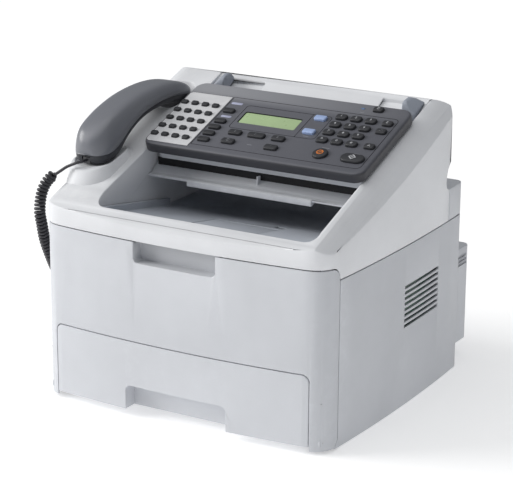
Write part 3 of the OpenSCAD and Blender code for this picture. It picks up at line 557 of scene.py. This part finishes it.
def cord_path():
    """The cord's middle line: lead, curly part and tail as one curve."""
    middle = spline([mm(*p) for p in COIL_ROUTE], 24)
    turns = round(length_of(middle) * 1000 / COIL_PITCH)
    middle = evenly(middle, turns * PER_TURN + 1)
    helix = []
    last = len(middle) - 1
    for k, (p, (u, v)) in enumerate(zip(middle, frames_along(middle))):
        angle = 2 * math.pi * k / PER_TURN
        ease = min(1.0, k / PER_TURN / 1.5, (last - k) / PER_TURN / 1.5)
        r = COIL_RADIUS / 1000 * ease * ease * (3 - 2 * ease)
        helix.append(p + r * (u * math.cos(angle) + v * math.sin(angle)))
    lead = evenly(spline([mm(*p) for p in LEAD_ROUTE], 8), 24)
    tail = evenly(spline([mm(*p) for p in TAIL_ROUTE], 8), 24)
    return lead[:-1] + helix + tail[1:]


def tube_mesh(name, points, radius, sides=10):
    turns = [2 * math.pi * k / sides for k in range(sides)]
    rows = [[p + radius * (u * math.cos(a) + v * math.sin(a)) for a in turns]
            for p, (u, v) in zip(points, frames_along(points))]
    return grid_mesh(name, rows)


def make_plug(name, body, node, lo, hi, along):
    """Small plug with its latch, on the end of the cord, all in the dark plug plastic."""
    parts = [box_mesh(name, lo, hi, bevel=0.5)]
    mid = [(a + b) / 2 for a, b in zip(lo, hi)]
    if along == "y":
        latch = (mid[0] - 1.6, lo[1] + 2), (mid[0] + 1.6, hi[1] - 1)
    else:
        latch = (lo[0] + 1, mid[1] - 1.6), (hi[0] - 2, mid[1] + 1.6)
    parts.append(box_mesh(name, (*latch[0], hi[2] - 0.3), (*latch[1], hi[2] + 0.7), bevel=0.3))
    return new_object(name, joined(name, parts), MAT["plug_dark"], body, [node])


def make_cord():
    handset_end = make_plug("cord_plug_handset", "handset", "handset_plug",
                            (-165, 64.5, 274), (-155, 75.5, 281.5), "y")
    jack_end = make_plug("cord_plug_base", "root", "base_plug", (-206, 200, 105.5), (-183, 210, 113.8), "x")
    path = cord_path()
    mesh = tube_mesh("curly_cord", path, WIRE / 2000)
    o = bpy.data.objects.new("curly_cord", mesh)
    bpy.context.scene.collection.objects.link(o)
    mesh.materials.append(MAT["cord_dark"])
    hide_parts("cord_leads", "cord_coil")
    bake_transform(o)


make_cord()

# ---------------------------------------------------------------- moulded pieces taken from the CAD nodes
for n in frame["nodes"]:
    keep(n)

ROUNDED = {
    "output_tray": 0.5, "output_stop_flap": 0.4, "rear_upper_cover": 1.2, "rear_cover": 1.2,
    "power_inlet": 0.4, "jack_block": 0.5, "power_switch": 0.5, "panel_lower_shell": 1.0,
    "lcd_window": 0.2, "scan_bed": 0.5, "document_guide_left": 1.6,
    "document_guide_right": 1.6, "hook_switch": 0.5,
}
for n, w in ROUNDED.items():
    rounded(n, w)


def foot_weight(low):
    """Larger rounding on the bottom edges of the outer walls."""
    return lambda mid: 1.0 if mid.z < low else 0.3


rounded("left_side_cover", 1.2, weight=foot_weight(2.6))
rounded("right_side_cover", 1.2, weight=foot_weight(2.6))
rounded("front_cover", 0.9, weight=lambda mid: 0.0 if mid.z < 60 and mid.y > 1 and abs(mid.x) > 150 else 1.0)
rounded("paper_cassette", 0.5, weight=lambda mid: 0.0 if abs(mid.x) < 66 and mid.z < 45 else 1.0,
        merge=False, smooth=False)
rounded("top_housing", 1.3)


# ---------------------------------------------------------------- keys
PANEL_T = 13.2
KEY_TOP = PANEL_T + 3.2


def key_cap(name, pos, size, r, crown=0.25, top=KEY_TOP):
    small = min(size) / 2
    return pad(name, pos, size, r, [
        (0, PANEL_T - 6), (0, top - 1.5), (0.12, top - 0.95), (0.4, top - 0.48), (0.85, top - 0.2),
        (1.5, top - 0.07),
        (small * 0.6, top + crown * 0.5), (small * 0.9, top + crown)])


def key_group(name, body, node, caps, slot):
    mesh = joined(name, caps)
    for f in mesh.polygons:
        f.use_smooth = True
    return new_object(name, mesh, MAT[slot], body, [node])


def overlay_group(name, body, meshes, material):
    return new_object(name, joined(name, meshes), material, body)


KEYPAD = (111.5, 211.5)
DIGIT, QUICK, COPY_KEY, CALL_KEY, START_KEY = (14, 9.8), (9, 6.8), (15.5, 9), (12.6, 9.2), (29, 15.6)
STOP_RADIUS = 9.2
STOP_SIZE, STOP_CORNER = (2 * STOP_RADIUS, 2 * STOP_RADIUS), STOP_RADIUS - 0.02
DIGIT_SIGNS = ("1", "2", "3", "4", "5", "6", "7", "8", "9", "star", "0", "hash")
PITCH = (19.0, 16.6)
DIGITS = [(KEYPAD[0] + (k % 3 - 1) * PITCH[0], KEYPAD[1] + (1.5 - k // 3) * PITCH[1]) for k in range(12)]
for sign, pos in zip(DIGIT_SIGNS, DIGITS):
    node = "key_" + sign
    key_group(node + "_cap", node, node, [key_cap(node, pos, DIGIT, 3.4, 0.3)], "key_dark")
    mark = {"star": "*", "hash": "#"}.get(sign, sign)
    lower, height = (1.0, 6.5) if sign == "star" else (0, 4.6)
    overlay_group(node + "_print", node, [glyph(mark, pos[0], pos[1] - lower, KEY_TOP + 0.3, height)],
                INK_WHITE)

SPEED = [(-114 + c * 14.35, 152.7 + r * 17.75) for c in range(4) for r in range(5)]
FUNCTION = [(-49, 218), (-48, 195), (-48, 181.5), (-48, 168), (-47.5, 154.5), (-17, 176.5), (11.5, 176.5),
            (40.5, 176.5), (-16, 157.5), (41, 157.5)]
FUNCTION_SIZE = [(15.2, 8)] * 5 + [(16.8, 9), (22, 9)] + [(16.8, 9)] * 3
COPY = [(69, 228.5), (69, 199)]
CALL = [(128, 261.5), (152, 236), (152, 219), (153, 187)]
START, STOP = (145, 160), (104, 160)
PANEL_MID, PANEL_SIZE, PANEL_R = (24, 202.25), (291, 140.5), 14
PLATE_MID, PLATE_SIZE, PLATE_R = (-89.6, 192.7), (58, 109.4), (0.4, 5, 5, 0.4)


def holes(spots, size, r, low=-2, high=40):
    """Cutters for the key holes."""
    return [pad("hole", p, (size[0] + 0.7, size[1] + 0.7), r + 0.35, [(0, low), (0, high)]) for p in spots]


def ring_of(x0, s0, x1, s1, r, width, n, depth):
    """Closed ring, used to cut a groove and to fill its floor with painted shade."""
    x, s, w, h = (x0 + x1) / 2, (s0 + s1) / 2, x1 - x0, s1 - s0
    outer = [(x + a, s + b) for a, b in round_outline(w, h, r, 8)]
    inner = [(x + a, s + b) for a, b in round_outline(w - 2 * width, h - 2 * width, smaller(r, width), 8)]
    return plate_of("groove", [outer, inner], n, depth)


GROOVES = [(-59.2, 143, 162, 249, (7, 0.9, 0.9, 7), 0.8), (-33, 186, 82, 236, 5, 0.75)]


def panel_plastic():
    """The panel's finish with painted light: a painted reflection makes it silvery at the rear left, painted
    light fades towards the right, and painted shade darkens it towards the front.
    """
    m = Nodes("panel_paint_painted_reflection_and_shade")
    place = m.add("ShaderNodeSeparateXYZ")
    m.link(m.coord, place.inputs[0])
    # Painted reflection: a silvery strip along the rear left, and painted light fading from the left to the
    # right.
    across = m.map_range(place.outputs["X"], -0.10, 0.19, 1, 0)
    rear = m.map_range(place.outputs["Y"], 0.018, 0.034, 0, 1)
    painted_reflection_strip = m.add("ShaderNodeMath", operation="MULTIPLY")
    m.link(across, painted_reflection_strip.inputs[0])
    m.link(rear, painted_reflection_strip.inputs[1])
    painted_light_across = m.mix(across, (0.085, 0.088, 0.105), (0.14, 0.143, 0.165))
    base = m.mix(painted_reflection_strip.outputs[0], painted_light_across, (0.34, 0.345, 0.37))
    flakes = m.map_range(m.noise(2400, 2), 0.4, 0.7, 0, 0.3)
    base = m.mix(flakes, base, (0.2, 0.2, 0.22))
    # Painted shade: faces that turn away from the top, such as the front lip, are made darker.
    painted_shade_facing = m.add("ShaderNodeSeparateXYZ")
    m.link(m.add("ShaderNodeNewGeometry").outputs["Normal"], painted_shade_facing.inputs[0])
    base = m.mix(m.map_range(painted_shade_facing.outputs["Z"], 0.1, 0.75, 0.85, 0), base, (0.028, 0.028, 0.034))
    m.link(base, m.bsdf.inputs["Base Color"])
    m.link(m.map_range(m.noise(30, 3), 0.3, 0.7, 0.34, 0.42), m.bsdf.inputs["Roughness"])
    m.link(m.bump(m.voronoi(2200), 0.2, 0.00003), m.bsdf.inputs["Normal"])
    m.bsdf.inputs["Specular IOR Level"].default_value = 0.45
    return m.mat


def make_panel():
    T = PANEL_T
    shell = pad("control_panel_shell", PANEL_MID, PANEL_SIZE, PANEL_R, [
        (1.0, 0.5), (0.3, 1.1), (0, 2.2), (0, 9.4), (0.15, 10.8), (0.6, 11.9), (1.5, 12.7), (2.8, 13.1),
        (4.4, 13.2)],
        steps=10)
    o = new_object("control_panel_shell", shell, panel_plastic(), "control_panel",
                   ["control_panel"])
    cut(o, [pad("hollow", PANEL_MID, (285, 134.5), 11, [(0, -5), (0, T - 2.5)]),
            prism("rear", [(259, 0.3), (285, 14.1), (285, -6), (259, -6)], -180, 220, on_slope),
            pad("seat", PLATE_MID, (PLATE_SIZE[0] + 0.6, PLATE_SIZE[1] + 0.6), PLATE_R,
                [(0, T - 1.2), (0, T + 9)])]
        + [ring_of(*g, T, 1.4) for g in GROOVES]
        + [box_mesh("divider", (55.6, 186.7, T - 0.7), (56.4, 235.3, T + 3), on_slope),
           pad("window", (10.5, 210.75), (76.6, 24.1), 2.2, [(0, -5), (0, T + 9)])]
        + holes(SPEED, QUICK, 2.2)
        + holes(DIGITS, DIGIT, 3.4)
        + [h for p, d in zip(FUNCTION, FUNCTION_SIZE) for h in holes([p], d, 2.6)]
        + holes(COPY, COPY_KEY, 2.4) + holes(CALL, CALL_KEY, 2.6) + holes([START], START_KEY, 7.75)
        + holes([STOP], STOP_SIZE, STOP_CORNER))
    plate = pad("speed_plate_shell", PLATE_MID, PLATE_SIZE, PLATE_R,
                [(0, T - 1.15), (0, T + 0.1), (0.12, T + 0.3), (0.4, T + 0.4)])
    p = new_object("speed_plate_shell", plate, MAT["plate_silver"], "control_panel",
                   ["speed_dial_plate"])
    cut(p, holes(SPEED, QUICK, 2.2))
    # Painted shade: dark fills on the floors of the panel's grooves and beside the divider.
    fill = [ring_of(*g, T - 0.62, 0.2) for g in GROOVES]
    fill.append(box_mesh("divider", (55.65, 187, T - 0.72), (56.35, 235, T - 0.5), on_slope))
    overlay_group("panel_grooves", "control_panel", fill, PAINTED_SHADE)
    # Painted shade: a dark line in the gap round the speed-dial plate.
    gap = ring_of(-119.3, 137.5, -59.9, 248.1, (0.6, 5.6, 5.6, 0.6), 0.9, T + 0.02, 0.08)
    overlay_group("panel_plate_gaps", "control_panel", [gap],
                PAINTED_SHADE)

key_group("speed_dial_caps", "speed_dial_keys", "speed_dial_keys",
          [key_cap("speed", p, QUICK, 2.2, 0.15) for p in SPEED], "key_dark")
key_group("function_caps", "function_keys", "function_keys",
          [key_cap("function", p, d, 2.6, 0.2) for p, d in zip(FUNCTION, FUNCTION_SIZE)], "key_dark")
key_group("copy_caps", "copy_keys", "copy_keys", [key_cap("copy", p, COPY_KEY, 2.4, 0.2) for p in COPY],
          "key_blue")
key_group("call_caps", "call_keys", "call_keys", [key_cap("call", p, CALL_KEY, 2.6, 0.2) for p in CALL],
          "key_dark")
key_group("start_cap", "start_key", "start_key", [key_cap("start", START, START_KEY, 7.75, 0.4)], "key_dark")
key_group("stop_cap", "stop_key", "stop_key", [key_cap("stop", STOP, STOP_SIZE, STOP_CORNER, 0.4)],
          "key_dark")


def square(x, s, r):
    return ring_outline(x, s, r, 4)


def octagon(x, s, r):
    return ring_outline(x, s, r, 8, 0.39)


def outlined(shape, pos, outer, inner, n, shift=0.0):
    """Mark that is the line between two sizes of one outline."""
    return plate_of("mark", [shape(pos[0] + shift, pos[1], outer), shape(pos[0] + shift, pos[1], inner)], n)


def stroke(pos, dx, ds, length, width, n, angle=0.0):
    """Short bar near a key's middle."""
    return bar("mark", pos[0] + dx, pos[1] + ds, length, width, n, angle)


def bar(name, x, s, length, width, n, angle=0.0):
    c, d = math.cos(angle), math.sin(angle)
    corners = [(x + c * u - d * v, s + d * u + c * v)
               for u, v in ((-length / 2, -width / 2), (length / 2, -width / 2), (length / 2, width / 2),
                            (-length / 2, width / 2))]
    return plate_of(name, [corners], n)


LARGE_N, SMALL_N = KEY_TOP + 0.36, KEY_TOP + 0.1

overlay_group("start_print", "start_key", [
    outlined(square, START, 4.6, 3.5, LARGE_N),
    stroke(START, 0.2, 0.2, 5.2, 0.8, LARGE_N, math.radians(50))], INK_WHITE)
overlay_group("stop_print", "stop_key", [
    outlined(octagon, STOP, 4.4, 3.2, LARGE_N),
    stroke(STOP, 0, 0, 6.4, 1.1, LARGE_N, math.radians(40))], INK_ORANGE)


def arrow(pos, r, turn):
    return plate_of("arrow", [ring_outline(pos[0], pos[1], r, 3, turn)], SMALL_N)


overlay_group("function_print", "function_keys", [
    arrow(FUNCTION[5], 1.9, math.pi),
    arrow(FUNCTION[7], 1.9, 0.0),
    outlined(square, FUNCTION[6], 1.6, 1.1, SMALL_N, -1.2),
    stroke(FUNCTION[6], 2, 0, 2.6, 0.5, SMALL_N),
    outlined(ring_outline, FUNCTION[8], 2.0, 1.5, SMALL_N),
    stroke(FUNCTION[9], -1.2, 0, 3.2, 0.6, SMALL_N, 0.5),
    stroke(FUNCTION[9], 1.4, 0, 3.2, 0.6, SMALL_N, -0.5)], INK_GREY)
overlay_group("call_print", "call_keys", [
    outlined(ring_outline, CALL[0], 1.9, 1.3, SMALL_N),
    plate_of("mark", [square(*CALL[1], 2.0)], SMALL_N),
    stroke(CALL[2], 0, 0, 3.4, 0.8, SMALL_N, 0.6),
    stroke(CALL[3], -1.0, 0, 3.6, 0.7, SMALL_N, 1.2),
    stroke(CALL[3], 0.6, -1.2, 2.4, 0.7, SMALL_N, -0.3)], INK_WHITE)

# ---------------------------------------------------------------- panel trim
LABELS = [(-48, 236, 15, 4.4), (-47, 207, 14, 4.0)]
overlay_group("panel_labels", "control_panel",
            [pad("label", (x, s), (w, h), 1.6,
                 [(0, PANEL_T - 0.5), (0, PANEL_T + 0.1), (0.15, PANEL_T + 0.22)]) for x, s, w, h in LABELS],
            plastic("label_plastic", (0.5, 0.52, 0.68), rough=0.4))
DASHES = [(104, 173.5, 9), (145, 171, 8), (12, 158, 6), (69, 236, 7), (69, 190.5, 7), (110, 253, 5)]
overlay_group("panel_dashes", "control_panel",
            [bar("dash", x, s, w, 0.55, PANEL_T + 0.02) for x, s, w in DASHES], INK_GREY)
overlay_group("status_lamp", "control_panel",
            [pad("lamp", (108, 261), (5.2, 3.0), 1.4,
                 [(0, PANEL_T - 1), (0, PANEL_T + 0.2), (0.3, PANEL_T + 0.6), (0.9, PANEL_T + 0.75)])],
            plastic("lamp_plastic", (0.12, 0.2, 0.36), rough=0.15, coat=0.8))


make_panel()
exit_shadow = box_mesh("exit_shadow", (-116, 149.2, 259.9), (156, 150.2, 269.4))
new_object("exit_slot_shadow", exit_shadow, PAINTED_SHADE, "root")


# ---------------------------------------------------------------- handset
HANDSET_X, HANDSET_HALF = -160.0, 23.4
BACK_LINE = [(63, 284), (61.8, 292), (65, 303), (73, 313), (86, 321), (104, 328.5), (126, 335), (150, 340),
             (176, 343), (202, 344), (226, 342.5), (246, 338.5), (260, 332.5), (268, 325), (268.5, 320)]
PART_LINE = [(63, 284), (78, 285.5), (92, 289), (106, 296.5), (124, 308), (146, 318), (170, 324), (196, 327),
             (220, 327), (244, 324.5), (262, 321), (268.5, 319.6)]
UNDER_LINE = [(63.5, 283.4), (64.5, 277), (71, 272.2), (80, 271.5), (95, 274.5), (104, 279), (112, 287),
              (126, 298), (146, 308), (170, 314.5), (196, 317), (220, 316), (231, 313.5), (238, 306),
              (246, 303.5), (256, 305.5),
              (264, 310), (268, 319)]


def plan_half(y):
    """Half width of the handset at depth y, round at both ends."""
    d = min(max(min(y - 61.3, 269.5 - y), 0.0), 26.0)
    return HANDSET_HALF * (1 - ((26 - d) / 26) ** 2.4) ** (1 / 2.4)


def shell_rows(edge, crest, sharp, inset, stations, arc):
    """Closed cross-sections between the parting line and the crest line."""
    def line(points):
        return evenly(spline([Vector((y, z, 0)) for y, z in points], 10), stations)
    rows = []
    for a, b in zip(line(edge), line(crest)):
        row = []
        for k in range(arc + 1):
            t = math.pi * k / arc
            f = max(0.0, math.sin(t)) ** (2 / sharp)
            across = math.copysign(abs(math.cos(t)) ** (2 / sharp), math.cos(t))
            y, z = a.x + (b.x - a.x) * f, a.y + (b.y - a.y) * f
            row.append(mm(HANDSET_X + across * max(plan_half(y) - inset, 0.4), y, z))
        for k in (-0.5, 0.0, 0.5):
            row.append(mm(HANDSET_X + k * max(plan_half(a.x) - inset, 0.4), a.x, a.y))
        rows.append(row)
    return rows


def make_handset():
    upper = grid_mesh("handset_back", shell_rows(PART_LINE, BACK_LINE, 3.8, 0.0, 90, 40))
    new_object("handset_back", upper, MAT["handset_top"], "handset", ["handset_upper_shell"])
    lowered = [(y, z - 0.5) for y, z in PART_LINE]
    grip = grid_mesh("handset_grip", shell_rows(lowered, UNDER_LINE, 3.4, 0.7, 90, 32))
    lower = new_object("handset_grip", grip, MAT["handset_under"], "handset",
                       ["handset_lower_shell"])
    cut(lower, [box_mesh("jack", (-165.6, 40, 273.4), (-154.4, 76, 282.4))])
    # Painted shade: dark dots stand for the shade inside the mouthpiece and earpiece holes.
    dots = []
    for cy, cz, tilt in ((84, 273.0, 0.2), (250, 304.6, -0.22)):
        for ring, count in ((0, 1), (4, 8), (8, 16)):
            for k in range(count):
                a = 2 * math.pi * k / count
                dy = ring * math.sin(a)
                x, y, z = HANDSET_X + ring * math.cos(a), cy + dy, cz + dy * math.tan(tilt)
                dots.append(tube_mesh("dot", [mm(x, y, z - 0.9), mm(x, y, z + 1.0)], 0.0008, 8))
    new_object("handset_sound_hole_shade", joined("handset_sound_hole_shade", dots), PAINTED_SHADE, "handset")


make_handset()


# ---------------------------------------------------------------- cradle
def shoulder_z(x, y):
    """Height of the housing's surface."""
    u = max(0.0, x - 160 if x > 0 else -x - 166) / 34
    return RIM_Z + y * math.tan(SLOPE) - 22 * u ** 1.7 / math.cos(SLOPE)


def between(points, y):
    """Height at y on a line through the points."""
    for (y0, z0), (y1, z1) in zip(points, points[1:]):
        if y <= y1:
            return z0 + (z1 - z0) * max(0.0, (y - y0)) / (y1 - y0)
    return points[-1][1]


COLLAR = [(46, 266.5), (54, 269), (62, 272.4), (80, 275.6), (104, 282), (112, 283.8), (134, 283)]
SEAT = [(46, 271), (80, 271), (112, 281), (134, 282.3)]


def make_cradle():
    rows = []
    for half, y0, y1, r, height in (
            (31, 45, 134, 30, lambda x, y: shoulder_z(x, y) - 3),
            (30.6, 45.6, 133.5, 29.5, lambda x, y: shoulder_z(x, y) + 0.2),
            (28.6, 49.4, 131.5, 27.5,
             lambda x, y: shoulder_z(x, y) + 0.42 * max(0, between(COLLAR, y) - shoulder_z(x, y))),
            (26.9, 52.4, 129.5, 26, lambda x, y: between(COLLAR, y) - 1.6),
            (26.2, 53.6, 128.6, 25.4, lambda x, y: between(COLLAR, y) - 0.5),
            (25.6, 54.8, 128, 25, lambda x, y: between(COLLAR, y)),
            (25.0, 59.6, 127.4, 24, lambda x, y: between(COLLAR, y) - 0.1),
            (24.7, 60.6, 127, 23.8, lambda x, y: min(between(COLLAR, y) - 0.6, between(SEAT, y) + 1.2)),
            (24.2, 61.4, 126.5, 23.4, lambda x, y: between(SEAT, y)),
            (20, 66, 122, 19, lambda x, y: between(SEAT, y))):
        rows.append([mm(HANDSET_X + x, (y0 + y1) / 2 + y, height(HANDSET_X + x, (y0 + y1) / 2 + y))
                     for x, y in round_outline(2 * half, y1 - y0, r, 14)])
    o = new_object("cradle", grid_mesh("cradle", rows), MAT["housing_rim"], "root",
                   ["handset_cradle"])
    cut(o, [box_mesh("hook", (-166.6, 87.4, 230), (-153.4, 100.6, 300))])


make_cradle()

# ---------------------------------------------------------------- stage
def make_stage():
    bm = bmesh.new()
    bmesh.ops.create_grid(bm, x_segments=8, y_segments=8, size=12)
    mesh = bpy.data.meshes.new("floor")
    bm.to_mesh(mesh)
    bm.free()
    floor = bpy.data.objects.new("floor", mesh)
    bpy.context.scene.collection.objects.link(floor)
    m = Nodes("floor_paper")
    m.link(m.mix(m.map_range(m.noise(3, 2), 0.3, 0.7, 0, 1), (0.9, 0.9, 0.9), (0.92, 0.92, 0.92)),
           m.bsdf.inputs["Base Color"])
    m.bsdf.inputs["Roughness"].default_value = 0.9
    m.bsdf.inputs["Specular IOR Level"].default_value = 0.1
    m.bsdf.inputs["Emission Color"].default_value = (1, 1, 1, 1)
    m.bsdf.inputs["Emission Strength"].default_value = 0.36
    mesh.materials.append(m.mat)


def sun_light(name, energy, angle, direction, colour=(1, 1, 1)):
    """Soft sun: angle in degrees is its spread, and direction points at it."""
    data = bpy.data.lights.new(name, "SUN")
    data.energy = energy
    data.angle = math.radians(angle)
    data.color = colour
    o = bpy.data.objects.new(name, data)
    bpy.context.scene.collection.objects.link(o)
    o.rotation_euler = Vector(direction).to_track_quat("Z", "Y").to_euler()


make_stage()
sun_light("key_light", 2.0, 35, (-0.86, -0.38, 0.42), (1.0, 0.99, 0.97))
sun_light("top_light", 0.95, 70, (-0.12, -0.22, 1.0))
world = bpy.data.worlds.new("studio")
bpy.context.scene.world = world
world.use_nodes = True
world.node_tree.nodes["Background"].inputs["Color"].default_value = (0.93, 0.96, 1.0, 1)
world.node_tree.nodes["Background"].inputs["Strength"].default_value = 0.22
bpy.context.scene.view_settings.view_transform = "Standard"
